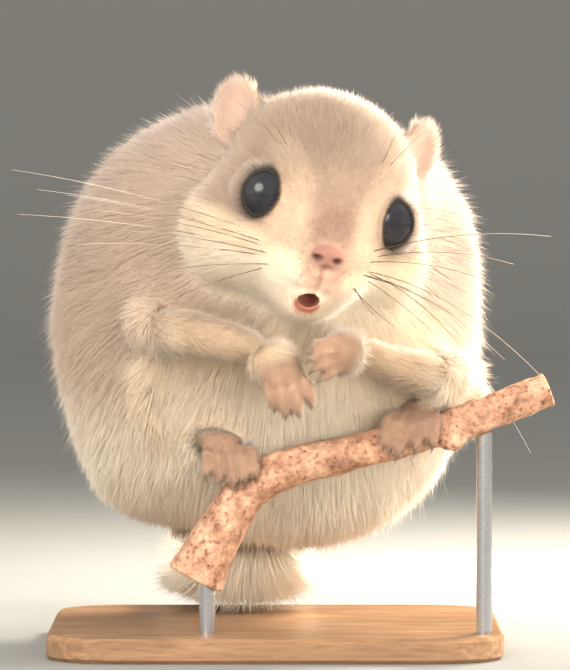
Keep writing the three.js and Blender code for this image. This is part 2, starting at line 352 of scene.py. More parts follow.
skinOptions = {
    "voxel": 0.5 * mm,
    "swell": 0.4 * mm,  # closes the clear gaps between the solids before they join
    "swellDigits": 0.12 * mm,
    "bodyFaces": 0.36,  # share of the faces kept where the coat is long
    "tailWidth": 0.48,  # the tail's own flesh, as a share of its width in fur
    "tailHeight": 0.5,
    # how deep the skin lies under the tips of the coat, mm
    "depth": {
        "head": 1.4, "nose": 0.0, "eye": 0.2, "ear": 0.2, "trunk": 3.0, "tail": 0.4,
        "foreleg": 1.2, "hand": 0.1, "hindleg": 2.8, "foot": 0.12, "membrane": 2.5,
    },
    # rounds of smoothing that each part can take
    "smoothing": {
        "head": 30, "nose": 6, "eye": 8, "ear": 6, "trunk": 60, "tail": 20,
        "foreleg": 24, "hand": 3, "hindleg": 50, "foot": 3, "membrane": 30,
    },
}

fleshNodes = ["head", "nose", "trunk", "tail"] + [
    f"{part}_{side}"
    for part in ("eye", "ear", "foreleg", "hand", "hindleg", "foot", "membrane")
    for side in ("right", "left")
]
kindOf = [name.split("_")[0] for name in fleshNodes]
kinds = list(skinOptions["depth"])


def kindShare(ofKind, *names):  # how much of each point belongs to these kinds, 0 to 1
    return ofKind[:, [kinds.index(name) for name in names]].sum(1)


def slimTail(points):
    at, along, _ = nearestOnPath(points, densePath(limbLine["tail"], 90))
    rel = points - at
    side = unit(np.array([1.0, 0, 0]) - along * along[:, :1])
    up = np.cross(side, along)
    s = (rel * side).sum(1, keepdims=True)
    u = (rel * up).sum(1, keepdims=True)
    a = (rel * along).sum(1, keepdims=True)
    slim = s * skinOptions["tailWidth"] * side + u * skinOptions["tailHeight"] * up
    return at + slim + 0.6 * a * along


def joinFlesh():
    verts, faces, owner = [], [], []
    for index, name in enumerate(fleshNodes):
        bm = bmesh.new()
        bm.from_mesh(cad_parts[name].data)
        bmesh.ops.remove_doubles(bm, verts=bm.verts, dist=1e-6)
        bmesh.ops.recalc_face_normals(bm, faces=bm.faces)
        bm.normal_update()
        swell = skinOptions["swellDigits" if kindOf[index] in ("hand", "foot") else "swell"]
        co = np.array([v.co + v.normal * swell for v in bm.verts])
        if name == "tail":
            co = slimTail(co)
        start = len(verts)
        verts.extend(co)
        for f in bm.faces:
            faces.append([start + v.index for v in f.verts])
            owner.append(index)
        bm.free()
    return verts, faces, np.array(owner)


def thinBody(obj, label):
    coarse = [i for i, k in enumerate(kindOf) if k in ("trunk", "hindleg", "membrane", "tail")]
    points = vertexArray(obj.data)
    _, forward, _ = inHead(points)
    chosen = np.isin(label, coarse) | ((label == fleshNodes.index("head")) & (forward < -14))
    group = obj.vertex_groups.new(name="longCoat")
    group.add(np.nonzero(chosen)[0].tolist(), 1.0, "REPLACE")
    mod = obj.modifiers.new("thin", "DECIMATE")
    mod.ratio = skinOptions["bodyFaces"]
    mod.vertex_group = "longCoat"
    mod.use_collapse_triangulate = True
    applyModifiers(obj)


def refineFace(mesh):
    # smaller faces round the eyes, nose and mouth
    bm = bmesh.new()
    bm.from_mesh(mesh)
    mouth = fromHead(-0.6, 15.6, -16.2)
    spots = [(eyeCentre["right"], 8.5 * mm), (eyeCentre["left"], 8.5 * mm),
             (noseCentre, 5 * mm), (mouth, 4.5 * mm)]
    chosen = set()
    for e in bm.edges:
        p = np.array((e.verts[0].co + e.verts[1].co) / 2)
        if any(((p - c) ** 2).sum() < r * r for c, r in spots):
            chosen.add(e)
    bmesh.ops.subdivide_edges(bm, edges=list(chosen), cuts=1, use_grid_fill=True)
    bmesh.ops.triangulate(bm, faces=bm.faces)
    bm.to_mesh(mesh)
    bm.free()
    mesh.update()


eyeShape = {
    "radius": 5.6 * mm,
    # degrees from straight ahead to the middle of the opening between the lids
    "turnOut": {"right": 22, "left": 9},
    "turnUp": 15,
    # half the opening, degrees
    "openWide": {"right": 36, "left": 30},
    "openHigh": 50,
    "corner": 1.65,  # 2 is an oval, less is more pointed above and below
}


def gazeOf(side):
    s = 1 if side == "left" else -1
    out, up = math.radians(eyeShape["turnOut"][side]), math.radians(eyeShape["turnUp"])
    ahead = math.cos(out) * headForward + math.sin(out) * s * headLeft
    return unit(math.cos(up) * ahead + math.sin(up) * headUp)


def eyeOpening(points, side):
    # 1 on the edge of the lids, less inside the opening, and the distance from the eye's centre
    rel = points - eyeCentre[side]
    dist = np.linalg.norm(rel, axis=1)
    way = rel / np.maximum(dist, 1e-9)[:, None]
    gaze = gazeOf(side)
    across = unit(np.cross(headUp, gaze))
    above = np.cross(gaze, across)
    g, a, b = way @ gaze, way @ across, way @ above
    angle = np.degrees(np.arccos(np.clip(g, -1, 1)))
    flat = np.maximum(np.hypot(a, b), 1e-9)
    wide, high, power = eyeShape["openWide"][side], eyeShape["openHigh"], eyeShape["corner"]
    limit = (np.abs(a / flat / wide) ** power + np.abs(b / flat / high) ** power) ** (-1 / power)
    return angle / limit, dist, way, b / flat


def buildSkin():
    verts, faces, owner = joinFlesh()
    tree = BVHTree.FromPolygons([Vector(v) for v in verts], faces)
    obj = meshObject("skin", verts, faces)
    remesh(obj, skinOptions["voxel"])
    dropCrumbs(obj.data)
    report(f"flesh joined, {len(obj.data.vertices)} vertices")
    label = np.array([owner[tree.find_nearest(Vector(p))[2]] for p in vertexArray(obj.data)])
    thinBody(obj, label)
    mesh = obj.data
    refineFace(mesh)
    report(f"faces thinned on the body, {len(mesh.vertices)} vertices")

    points = vertexArray(mesh)
    edges = edgeArray(mesh)
    label = np.array([owner[tree.find_nearest(Vector(p))[2]] for p in points])
    share = np.zeros((len(points), len(fleshNodes)))
    share[np.arange(len(points)), label] = 1
    share = relax(share, edges, 10)
    members = [[j for j, k in enumerate(kindOf) if k == kind] for kind in kinds]
    ofKind = np.stack([share[:, group].sum(1) for group in members], 1)

    # facets go, and the depth of the coat comes off
    rounds = ofKind @ np.array([skinOptions["smoothing"][k] for k in kinds], float)
    done = 0
    for stop in (4, 8, 16, 30, 60):
        points = relax(points, edges, stop - done, 0.5, smooth(done * 0.6, stop, rounds))
        done = stop
    setVertices(mesh, points)
    depth = ofKind @ np.array([skinOptions["depth"][k] for k in kinds])
    left, forward, up = inHead(points)
    onHead = kindShare(ofKind, "head")
    depth += onHead * 1.2 * smooth(-2, -14, forward)  # longer hair on the nape
    depth += onHead * 0.9 * smooth(9, 15, np.abs(left)) * smooth(-4, -10, up)  # and on the cheeks
    depth -= onHead * 0.9 * smooth(9, 15, forward)  # and hardly any on the muzzle
    swell, swellDigits = skinOptions["swell"], skinOptions["swellDigits"]
    digits = kindShare(ofKind, "hand", "foot")
    depth = relax(depth, edges, 16) * mm + swell + digits * (swellDigits - swell)
    normals = relax(vertexArray(mesh, "normal"), edges, 3)
    points = points - unit(normals) * depth[:, None]
    onBody = smooth(0.5, 1, kindShare(ofKind, "trunk", "hindleg"))
    points = relax(points, edges, 5, 0.4, onBody)
    return obj, points, edges, share, ofKind


def shapeFace(points, edges):
    radius = eyeShape["radius"]
    for side in ("right", "left"):
        opening, dist, way, _ = eyeOpening(points, side)
        near = (dist < radius + 5.5 * mm) & (opening < 3.2)
        lid = radius + (0.26 + 0.2 * np.exp(-((opening - 1.06) / 0.07) ** 2)) * mm
        inside = radius - 0.9 * mm
        edge = smooth(0.96, 1.02, opening)
        target = inside + (lid - inside) * edge
        hold = smooth(1.75, 1.2, opening)  # further out the lids run into the face
        free = np.maximum(dist, radius + 0.25 * mm)
        dist = np.where(near & (opening < 2.6), free + (target - free) * hold, dist)
        points = np.where(near[:, None], eyeCentre[side] + way * dist[:, None], points)
        blend = smooth(1.15, 1.35, opening) * smooth(3.0, 2.2, opening) * (dist < radius + 5 * mm)
        points = relax(points, edges, 10, 0.5, blend)
    left, forward, up = inHead(points)
    for s in (-1, 1):  # nostrils, open to the sides
        away = np.sqrt(((left - s * 2.0) / 1.0) ** 2 + ((up + 6.6) / 0.62) ** 2)
        pit = np.exp(-away ** 2) * (forward > 15)
        points = points - (pit * 1.5 * mm)[:, None] * headForward
        points = points + (pit * s * -0.25 * mm)[:, None] * headLeft
    groove = np.exp(-(left / 0.5) ** 2) * smooth(-7.4, -8.6, up) * smooth(-15.5, -13.5, up) * (forward > 8)
    points = points - (groove * 0.9 * mm)[:, None] * headForward
    return points


# Markings, shared by the skin and the coat

tones = {
    "crown": linear(176, 150, 128),
    "fawn": linear(197, 172, 150),
    "grey": linear(166, 146, 132),
    "cream": linear(246, 220, 185),
    "white": linear(252, 236, 210),
    "muzzle": linear(166, 134, 114),
    "bridge": linear(206, 178, 150),
    "nose": linear(164, 120, 104),
    # dark in the nostrils: painted shade in the pits
    "nostril": linear(70, 44, 38),
    "lip": linear(182, 118, 102),
    # painted shade in the mouth's opening
    "mouth": linear(70, 22, 20),
    "ring": linear(52, 46, 40),
    "lipPuff": linear(232, 190, 166),
    "arm": linear(214, 184, 153),
    # real dark hair on the forearms' tops, and painted shade under the left forearm
    "armDark": linear(128, 98, 76),
    "hand": linear(188, 152, 126),
    "toe": linear(188, 152, 126),
    "earInside": linear(232, 198, 174),
    "tailTop": linear(200, 176, 152),
}


def blendTone(colour, tone, amount):
    return colour + (tones[tone] - colour) * np.clip(amount, 0, 1)[:, None]


def blendTones(colour, *layers):  # each layer is a tone's name and how much of it there is
    for tone, amount in layers:
        colour = blendTone(colour, tone, amount)
    return colour


def markings(points, normals, ofKind):
    x, y, z = (points / mm).T
    part = {k: ofKind[:, i] for i, k in enumerate(kinds)}
    wave = softNoise(points, 9 * mm, 3) * 3
    colour = np.tile(tones["fawn"], (len(points), 1))

    # body: grey-fawn over the back, cream from the throat to the belly
    back = smooth(0.0, 0.75, normals[:, 2]) * smooth(-8, 22, y)
    colour = blendTone(colour, "grey", 0.75 * back)
    colour = blendTone(colour, "grey", 0.6 * smooth(62, 88, z + wave) * smooth(-16, -2, y))
    front = smooth(34, 23, np.abs(x - 6) + wave) * smooth(2, -12, y)
    colour = blendTones(
        colour,
        ("cream", front * smooth(74, 66, z + wave)),
        ("white", smooth(0.0, -0.5, normals[:, 2]) * smooth(70, 50, z)),
        ("white", smooth(50, 34, z + wave) * smooth(26, 4, y)),
        ("cream", 0.8 * part["membrane"]),
    )

    # head
    left, forward, up = inHead(points)
    side = np.abs(left)
    head = smooth(0.15, 0.6, part["head"] + part["eye"] + part["nose"])
    face = np.tile(tones["crown"], (len(points), 1))
    face = blendTone(face, "fawn", smooth(2, -10, forward) * 0.5)
    besideNose = smooth(3.2, 6.5, side) * smooth(4, 9, forward) * smooth(7, 1, up) * smooth(14, 10.5, side)
    face = blendTone(face, "bridge", besideNose * 0.9)
    line = -7.2 + 0.16 * np.clip(side - 8, 0, 20) + 0.5 * wave  # where the pale cheek starts
    cheek = smooth(line + 1.8, line - 2.6, up) * smooth(3.0, 6.5, side + 0.6 * np.clip(-8 - up, 0, 9))
    face = blendTone(face, "cream", cheek)
    face = blendTone(face, "white", cheek * smooth(-8, -14, up) * 0.65)
    jaw = smooth(14, 19, side) * smooth(-18, -9, up) * smooth(6, -2, forward)
    face = blendTone(face, "fawn", jaw * 0.7)
    muzzle = smooth(4.6, 2.2, side) * smooth(14.0, 17.0, forward) * smooth(-13, -9, up)
    face = blendTone(face, "muzzle", muzzle)
    face = blendTone(face, "white", smooth(-10.5, -12, up) * smooth(5, 12, forward) * 0.8)
    colour = colour + (face - colour) * head[:, None]
    for which in ("right", "left"):
        opening, dist, way, tall = eyeOpening(points, which)
        near = dist < eyeShape["radius"] + 6 * mm
        out = (way @ headLeft) * (1 if which == "left" else -1)
        outer = smooth(0.25, 0.6, out)
        reach = 1.17 + 0.17 * np.abs(tall) ** 3 + 0.05 * outer
        ring = smooth(reach + 0.14 + 0.16 * outer, reach - 0.12, opening) * near
        colour = blendTone(colour, "ring", ring)
        inner = smooth(0.1, -0.3, out)
        pale = smooth(reach + 0.1, reach + 0.3, opening) * smooth(reach + 1.0, reach + 0.45, opening) * near
        colour = blendTone(colour, "bridge", pale * 0.5 * inner)
    puff = smooth(6.4, 1.8, side) * smooth(-7.8, -10, up) * smooth(-16, -12.4, up) * smooth(9, 13, forward)
    colour = blendTone(colour, "lipPuff", puff * 0.7)
    colour = blendTone(colour, "nose", smooth(0.3, 0.6, part["nose"]))
    # painted shade: the nostril pits are darkened where shade falls in them
    for s in (-1, 1):
        nostril = np.hypot((left - s * 2.0) / 1.0, (up + 6.6) / 0.7)
        colour = blendTone(colour, "nostril", np.exp(-nostril ** 2) * (forward > 15) * 0.9)
    mouth = fromOval((-0.6, -15.6, 15), points, (2.1, 1.7, 5))
    lip = fromOval((-0.6, -17.2, 14), points, (2.6, 2.3, 5))
    colour = blendTone(colour, "lip", smooth(1.25, 0.9, lip) * head)
    # painted shade: a dark opening between the lips, painted on the closed skin
    colour = blendTone(colour, "mouth", smooth(1.1, 0.8, mouth) * head)

    # ears: fawn outside, pink and thinly haired inside
    colour = blendTone(colour, "fawn", part["ear"])
    inside = part["ear"] * smooth(0.1, 0.5, normals @ headForward)
    colour = blendTone(colour, "earInside", inside)

    # limbs
    elbow = np.maximum(smooth(-18, -23, x), smooth(29, 34, x))
    colour = blendTone(colour, "arm", part["foreleg"] * (1 - 0.85 * elbow))
    above = smooth(0.5, 0.95, normals[:, 2]) * smooth(24, 6, x) * smooth(-24, -18, x)
    below = smooth(-0.5, -0.95, normals[:, 2]) * smooth(20, 26, x)
    colour = blendTone(colour, "armDark", part["foreleg"] * 0.45 * above)
    # painted shade: the downward-facing side of the left forearm is darkened
    colour = blendTone(colour, "armDark", part["foreleg"] * 0.25 * below)
    pastWrist = 1 - 0.8 * nearWrist(points)
    colour = blendTones(
        colour,
        ("hand", smooth(0.2, 0.7, part["hand"]) * pastWrist),
        ("toe", smooth(0.2, 0.7, part["foot"]) * pastWrist),
        ("arm", smooth(0.3, 0.8, part["foot"]) * smooth(-30, -22, y) * 0.8),
    )

    # tail: greyer above, cream below
    tail = smooth(0.2, 0.8, part["tail"])
    colour = blendTones(
        colour,
        ("tailTop", tail * smooth(-0.3, 0.3, normals[:, 2])),
        ("white", tail * smooth(0.1, -0.4, normals[:, 2])),
        ("white", tail * smooth(34, 20, y)),
    )
    fleck = 1 + 0.07 * softNoise(points, 2.4 * mm, 11)
    return np.clip(colour * fleck[:, None], 0.002, 0.98)


# The way the coat lies

def coatLie(points, normals, edges, share):
    way = np.zeros_like(points)
    noseTip = fromHead(0, 21, -5)
    headMiddle = fromHead(0, 2, -2)
    down = np.array([0, 0, -1.0])
    fromNose = unit(points - noseTip)
    fromFace = unit(points - headMiddle)
    y = points[:, 1:2] / mm
    z = points[:, 2:3] / mm
    trunk = fromFace + down * (0.35 + 0.7 * smooth(85, 45, z)) + np.array([0, 0.45, 0]) * smooth(0, 30, y)
    limbPath = {name: densePath(line) for name, line in limbLine.items()}
    for index, name in enumerate(fleshNodes):
        kind = kindOf[index]
        if kind in ("head", "nose", "eye"):
            this = fromNose
        elif kind == "ear":
            s = 1 if name.endswith("left") else -1
            this = np.tile(unit(headUp + 0.5 * s * headLeft - 0.2 * headForward), (len(points), 1))
        elif kind in ("trunk", "hindleg"):
            this = trunk
        else:
            at, along, reach = nearestOnPath(points, limbPath[name])
            this = along
            if kind == "foreleg":  # above the elbow the hair runs with the body's
                forearm = smooth(0.3, 0.52, reach)[:, None]
                this = along * forearm + unit(trunk) * (1 - forearm)
            if kind == "tail":
                out = (points - at) * np.array([1.0, 0, 0])
                this = along + 1.5 * out / (8 * mm)
            elif kind == "membrane":
                this = along + 0.5 * fromFace
        way += unit(this) * share[:, index:index + 1]
    way = relax(way, edges, 14)
    way -= normals * (way * normals).sum(1, keepdims=True)
    return unit(way)


# Coat

coatOptions = {
    "seed": 7,
    "sink": 0.35 * mm,  # how far each root goes into the skin
    "patch": 0.0015,  # half the width of a tuft's place on the coat's map
    "guard": {"share": 0.07, "longer": 1.35, "thinner": 0.55, "rise": 8},  # the few long hairs of the body
    "locks": {"leaders": 0.055, "near": 2.5 * mm, "far": 4.5 * mm},
    "flecks": {"share": 0.12, "shade": 0.55},  # dark hairs over the crown
    # per square millimetre of skin, length and width in mm, rise from the skin at root and tip in degrees
    "head": {"count": 14.0, "long": 3.6, "wide": 0.18, "rise": (30, 12), "clump": 0.12},
    "nose": {"count": 0.0, "long": 0.5, "wide": 0.1, "rise": (30, 10), "clump": 0.0},
    "eye": {"count": 22.0, "long": 3.4, "wide": 0.15, "rise": (30, 12), "clump": 0.05},
    "ear": {"count": 20.0, "long": 3.0, "wide": 0.13, "rise": (36, 26), "clump": 0.0},
    "trunk": {"count": 11.0, "long": 6.6, "wide": 0.21, "rise": (34, 18), "clump": 0.16},
    "tail": {"count": 16.0, "long": 11.5, "wide": 0.2, "rise": (26, 12), "clump": 0.16},
    "foreleg": {"count": 13.0, "long": 4.2, "wide": 0.17, "rise": (24, 9), "clump": 0.12},
    "hand": {"count": 24.0, "long": 1.8, "wide": 0.11, "rise": (24, 10), "clump": 0.05},
    "hindleg": {"count": 11.0, "long": 6.2, "wide": 0.21, "rise": (34, 18), "clump": 0.16},
    "foot": {"count": 20.0, "long": 1.9, "wide": 0.12, "rise": (24, 10), "clump": 0.05},
    "membrane": {"count": 11.0, "long": 5.6, "wide": 0.21, "rise": (34, 18), "clump": 0.16},
}
tuftLimit = 45000  # tufts in one piece of the coat


def kindMean(ofKind, key, pick=lambda v: v):
    return ofKind @ np.array([float(pick(coatOptions[k][key])) for k in kinds])


def coatRoots(obj, points, normals, lie, ofKind, colours, rng):
    mesh = obj.data
    mesh.calc_loop_triangles()
    count = len(mesh.loop_triangles)
    tri = np.empty(count * 3, dtype=np.int32)
    mesh.loop_triangles.foreach_get("vertices", tri)
    tri = tri.reshape(-1, 3)
    loops = np.empty(count * 3, dtype=np.int32)
    mesh.loop_triangles.foreach_get("loops", loops)
    uv = np.empty(len(mesh.loops) * 2)
    mesh.uv_layers["OFBake"].data.foreach_get("uv", uv)
    uv = uv.reshape(-1, 2)[loops].reshape(-1, 3, 2)
    a, b, c = points[tri[:, 0]], points[tri[:, 1]], points[tri[:, 2]]
    area = np.linalg.norm(np.cross(b - a, c - a), axis=1) / 2 / mm ** 2
    density = kindMean(ofKind, "count")
    bare = bareness(points)
    density = density * (1 - bare)
    want = area * density[tri].mean(1)
    total = np.cumsum(want)
    picks = (np.arange(int(total[-1])) + rng.random(int(total[-1]))) * (total[-1] / int(total[-1]))
    face = np.minimum(np.searchsorted(total, picks), count - 1)
    r1, r2 = np.sqrt(rng.random(len(face))), rng.random(len(face))
    w = np.stack([1 - r1, r1 * (1 - r2), r1 * r2], 1)[:, :, None]
    corners = tri[face]
    return {
        "at": (points[corners] * w).sum(1),
        "normal": unit((normals[corners] * w).sum(1)),
        "way": unit((lie[corners] * w).sum(1)),
        "kind": (ofKind[corners] * w).sum(1),
        "colour": (colours[corners] * w).sum(1),
        "uv": (uv[face] * w).sum(1),
    }


def nearWrist(points):
    joints = [limbLine["hand_right"][0], limbLine["hand_left"][0], (-13.5, -22, 43.2), (31, -21, 49)]
    away = np.min([np.linalg.norm(points - np.array(j) * mm, axis=1) for j in joints], axis=0)
    return smooth(7 * mm, 2.5 * mm, away)


def bareness(points):
    # no tufts on the nose pad, between the lids, in the mouth or on the lips
    bare = np.zeros(len(points))
    for side in ("right", "left"):
        opening, dist, _, _ = eyeOpening(points, side)
        bare = np.maximum(bare, smooth(1.11, 1.05, opening) * (dist < eyeShape["radius"] + 4 * mm))
    pad = fromOval((0, -6.4, 19.3), points, (3.9, 2.7, 4.5))
    lip = fromOval((-0.6, -16.6, 14.5), points, (2.5, 2.6, 5))
    return np.maximum.reduce([bare, smooth(1.1, 0.95, pad), smooth(1.1, 0.9, lip)])


def tuftSizes(roots, rng):
    kind = roots["kind"]
    n = len(kind)
    length = kindMean(kind, "long")
    width = kindMean(kind, "wide")
    riseRoot = kindMean(kind, "rise", lambda v: v[0])
    riseTip = kindMean(kind, "rise", lambda v: v[1])
    left, forward, up = inHead(roots["at"])
    head = kindShare(kind, "head", "eye")
    # short on the muzzle and brow, longer on cheeks and nape
    length *= 1 - head * 0.66 * smooth(4, 15, forward)
    length *= 1 + head * 0.5 * smooth(10, 15, np.abs(left)) * smooth(-3, -9, up)
    length *= 1 + head * 0.7 * smooth(-2, -14, forward)
    width *= 1 - head * 0.25 * smooth(6, 15, forward)
    for side in ("right", "left"):
        opening, dist, _, _ = eyeOpening(roots["at"], side)
        close = smooth(1.6, 1.1, opening) * (dist < eyeShape["radius"] + 6 * mm)
        length *= 1 - 0.45 * close
    mouth = fromOval((-0.6, -14.8, 15), roots["at"], (4.2, 3.6, 6))
    length *= 1 - 0.72 * smooth(1.25, 0.8, mouth)
    length *= rng.normal(1, 0.16, n).clip(0.55, 1.6)
    guard = coatOptions["guard"]
    long = (rng.random(n) < guard["share"]) & (kindShare(kind, "trunk") > 0.5)
    length[long] *= guard["longer"]
    width[long] *= guard["thinner"]
    riseTip = riseTip + rng.normal(0, 7, n) + guard["rise"] * long
    riseRoot = riseRoot + rng.normal(0, 6, n)
    x = roots["at"][:, 0] / mm
    elbow = kindShare(kind, "foreleg") * np.maximum(smooth(-16, -22, x), smooth(27, 33, x))
    length *= 1 + 0.2 * elbow
    length *= 1 + 1.1 * nearWrist(roots["at"]) * kindShare(kind, "hand", "foot")
    # the tail's hair stands out to both sides
    edge = kindShare(kind, "tail") * smooth(0.25, 0.9, np.abs(roots["normal"][:, 0]))
    riseRoot = riseRoot + 30 * edge
    riseTip = riseTip + 24 * edge
    width *= rng.normal(1, 0.15, n).clip(0.6, 1.5)
    return length * mm, width * mm, np.radians(riseRoot), np.radians(riseTip)


def tuftTips(roots, length, riseRoot, riseTip, rng):
    normal, way = roots["normal"], roots["way"]
    side = np.cross(normal, way)
    swing = 0.22 * softNoise(roots["at"], 5 * mm, 21) + rng.normal(0, 0.1, len(length))
    way = unit(way + side * swing[:, None])
    half = (length / 2)[:, None]
    tip = roots["at"] + half * (way * np.cos(riseRoot)[:, None] + normal * np.sin(riseRoot)[:, None])
    tip += half * (way * np.cos(riseTip)[:, None] + normal * np.sin(riseTip)[:, None])
    # locks: tips lean towards that of the nearest leader
    clump = kindMean(roots["kind"], "clump")
    locks = coatOptions["locks"]
    leaders = np.nonzero(rng.random(len(length)) < locks["leaders"])[0]
    tree = KDTree(len(leaders))
    for i, k in enumerate(leaders):
        tree.insert(roots["at"][k], i)
    tree.balance()
    nearest = leaders[[tree.find(p)[1] for p in roots["at"]]]
    apart = np.linalg.norm(roots["at"][nearest] - roots["at"], axis=1)
    close = smooth(locks["far"], locks["near"], apart)
    pull = (clump * close)[:, None]
    return tip + (tip[nearest] - tip) * pull


softness = {"body": 0.86, "limb": 0.45}  # share of the skin's own normal in the shading of a tuft


def tuftMesh(name, at, tip, width, normal, colourRoot, colourTip, uv, soft):
    n = len(at)
    run = unit(tip - at)
    across = unit(np.cross(run, normal))
    out = np.cross(across, run)
    angles = np.radians([90, 210, 330])
    ring = [np.cos(a) * across + np.sin(a) * out for a in angles]
    half = (width / 2)[:, None]
    base = at - normal * coatOptions["sink"]
    columns = [base + r * half for r in ring] + [tip]
    per = len(columns)
    verts = np.stack(columns, 1).reshape(-1, 3)
    pattern = np.array([(0, 1, 2), (1, 0, 3), (2, 1, 3), (0, 2, 3)])
    faces = (np.arange(n)[:, None, None] * per + pattern[None]).reshape(-1, 3)
    mesh = bpy.data.meshes.new(name)
    mesh.vertices.add(len(verts))
    mesh.vertices.foreach_set("co", verts.ravel())
    mesh.loops.add(faces.size)
    mesh.loops.foreach_set("vertex_index", faces.ravel().astype(np.int32))
    mesh.polygons.add(len(faces))
    mesh.polygons.foreach_set("loop_start", np.arange(0, faces.size, 3, dtype=np.int32))
    mesh.update(calc_edges=True)
    shadeSmooth(mesh)
    lean = [soft * normal + (1 - soft) * r for r in ring]
    lean.append(normal)
    mesh.normals_split_custom_set_from_vertices(unit(np.stack(lean, 1).reshape(-1, 3)))
    # colour runs from a darker root to a paler tip
    tone = np.stack([colourRoot] * 3 + [colourTip], 1).reshape(-1, 3)
    colourLayer(mesh, "coatTone", tone)
    patch = coatOptions["patch"]
    spots = [(math.cos(a) * patch, math.sin(a) * patch) for a in angles] + [(0.0, 0.0)]
    place = (uv[:, None, :] + np.array(spots)[None]).reshape(-1, 2)
    layer = mesh.uv_layers.new(name="OFBake")
    layer.data.foreach_set("uv", place[faces.ravel()].clip(0, 1).ravel())
    return linked(name, mesh)


furFinish = {
    "Roughness": 0.78, "Specular IOR Level": 0.25,
    "Sheen Weight": 0.5, "Sheen Roughness": 0.45, "Sheen Tint": (1.0, 0.95, 0.88, 1),
}
skinFinish = {"Roughness": 0.7, "Specular IOR Level": 0.2}


def furMaterial():
    return tonedMaterial("winterCoat", 900, 2, [(0.3, (0.92, 0.92, 0.92)), (0.7, (1, 1, 1))], furFinish)[0]


def skinMaterial():
    stops = [(0.3, (0.86, 0.82, 0.8)), (0.7, (1, 1, 1))]
    mat, tree, shader, coords = tonedMaterial("squirrelSkin", 500, 3, stops, skinFinish)
    grain = noiseNode(tree, coords, 2600, 4, 0.6)
    bumpNode(tree, shader, grain.outputs["Fac"], 0.5, 0.15 * mm)
    return mat


def buildCoat(skin, points, normals, lie, ofKind, colours):
    rng = np.random.default_rng(coatOptions["seed"])
    roots = coatRoots(skin, points, normals, lie, ofKind, colours, rng)
    length, width, riseRoot, riseTip = tuftSizes(roots, rng)
    tip = tuftTips(roots, length, riseRoot, riseTip, rng)
    n = len(length)
    shade = rng.normal(1, 0.06, n).clip(0.8, 1.2)[:, None]
    tipColour = roots["colour"] * shade
    grey = tipColour.mean(1, keepdims=True)
    dark = kindShare(roots["kind"], "trunk", "hindleg", "tail")
    rootColour = (tipColour * 0.88 + grey * 0.04) * (1 - 0.08 * dark[:, None])
    flecks = coatOptions["flecks"]
    flecked = (rng.random(n) < flecks["share"]) & (kindShare(roots["kind"], "head") > 0.5)
    pale = roots["colour"].mean(1) > 0.55
    tipColour[flecked & ~pale] *= flecks["shade"]
    main = roots["kind"].argmax(1)
    material = furMaterial()
    groups = {
        "coatBody": ["trunk"], "coatFlank": ["hindleg", "membrane"], "coatTail": ["tail"],
        "coatHead": ["head", "nose", "eye", "ear"], "coatLimb": ["foreleg", "hand", "foot"],
    }
    for name, names in groups.items():
        chosen = np.nonzero(np.isin(main, [kinds.index(k) for k in names]))[0]
        parts = max(1, math.ceil(len(chosen) / tuftLimit))
        order = chosen[np.argsort(roots["at"][chosen, 2], kind="stable")]
        for k, some in enumerate(np.array_split(order, parts)):
            label = name if parts == 1 else f"{name}{k + 1}"
            obj = tuftMesh(
                label, roots["at"][some], tip[some], width[some], roots["normal"][some],
                rootColour[some], tipColour[some], roots["uv"][some],
                softness["limb" if name == "coatLimb" else "body"],
            )
            obj.data.materials.append(material)
            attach(obj, "root")
            report(f"{label}: {len(some)} tufts, {len(obj.data.polygons)} faces")


# Eyes

eyeFinish = {"Roughness": 0.17, "Specular IOR Level": 0.5}


def eyeMaterial():
    stops = [(0.3, (0.008, 0.009, 0.014)), (0.75, (0.03, 0.026, 0.026))]
    return speckledMaterial("darkEye", 300, 2, stops, eyeFinish)


def buildEyes():
    material = eyeMaterial()
    for side in ("right", "left"):
        bm = bmesh.new()
        bmesh.ops.create_uvsphere(bm, u_segments=48, v_segments=32, radius=eyeShape["radius"])
        gaze = Vector(gazeOf(side))
        turn = Vector((0, 0, 1)).rotation_difference(gaze).to_matrix()
        for v in bm.verts:
            height = v.co.z / eyeShape["radius"]
            v.co *= 1 + 0.035 * max(height, 0) ** 4  # the clear front stands a little proud
            v.co = turn @ v.co + Vector(eyeCentre[side])
        name = f"eyeball_{side}"
        mesh = bpy.data.meshes.new(name)
        bm.to_mesh(mesh)
        bm.free()
        shadeSmooth(mesh)
        obj = linked(name, mesh)
        mesh.materials.append(material)
        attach(obj, "root")
        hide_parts(f"eye_{side}")


# Whiskers and claws

def tube(path, radii, sides=5):
    path = np.array(path)
    tangent = unit(np.gradient(path, axis=0))
    ref = np.array([0.1, 0.2, 1.0])
    side = unit(np.cross(tangent, ref))
    up = np.cross(side, tangent)
    verts, faces = [], []
    for p, s, u, r in zip(path, side, up, radii):
        for k in range(sides):
            a = 2 * math.pi * k / sides
            verts.append(p + r * (math.cos(a) * s + math.sin(a) * u))
    rings = len(path)
    for i in range(rings - 1):
        for k in range(sides):
            j = (k + 1) % sides
            faces.append((i * sides + k, i * sides + j, (i + 1) * sides + j, (i + 1) * sides + k))
    faces.append(tuple(range(sides))[::-1])
    faces.append(tuple((rings - 1) * sides + k for k in range(sides)))
    return verts, faces


def tubesObject(name, tubes):
    verts, faces = [], []
    for v, f in tubes:
        start = len(verts)
        verts.extend(v)
        faces.extend([tuple(start + i for i in face) for face in f])
    obj = meshObject(name, verts, faces)
    shadeSmooth(obj.data)
    return obj


